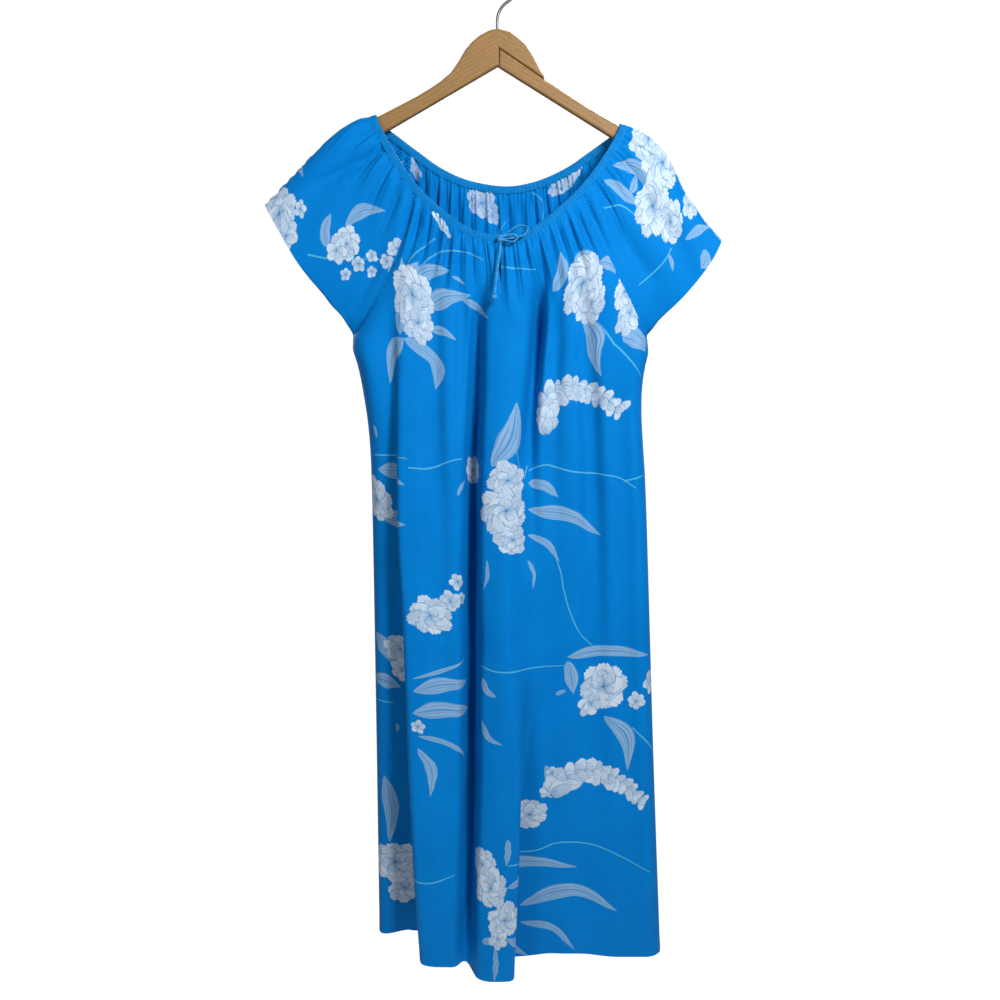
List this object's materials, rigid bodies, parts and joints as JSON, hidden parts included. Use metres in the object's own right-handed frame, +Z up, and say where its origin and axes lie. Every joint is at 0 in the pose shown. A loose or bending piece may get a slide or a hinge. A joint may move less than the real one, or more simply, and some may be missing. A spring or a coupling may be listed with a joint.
{
  "type": "muumuu dress on a clothes hanger",
  "caption": "Loose ankle-length muumuu with a gathered scoop neck, tied front slit and raglan cap sleeves, hung flat on a shaped wooden hanger with a wire hook.",
  "frame": {"origin": "where a rail bears: the inside top of the hanger's hook, in the middle of the hanger's thickness", "axes": "+Z up, +X towards the viewer's right when facing the front of the dress, and the front of the dress faces -Y"},
  "size_m": [0.5794, 0.1052, 1.2856],
  "materials": {
    "printed_cloth": "soft satin sheen, mid blue with pale flower and leaf print",
    "plain_cloth": "soft satin sheen, plain blue",
    "hanger_wood": "clear satin lacquer on beech",
    "hook_wire": "bright drawn wire"
  },
  "bodies": {
    "root": {"dress_front": "printed_cloth", "dress_back": "printed_cloth", "sleeve_left": "printed_cloth", "sleeve_right": "printed_cloth", "neck_band": "plain_cloth", "tie_bow": "plain_cloth", "tie_end": "plain_cloth", "tie_tip_knot": "plain_cloth", "hanger_wood_left": "hanger_wood", "hanger_wood_right": "hanger_wood", "hanger_hook": "hook_wire"}
  },
  "joints": []
}
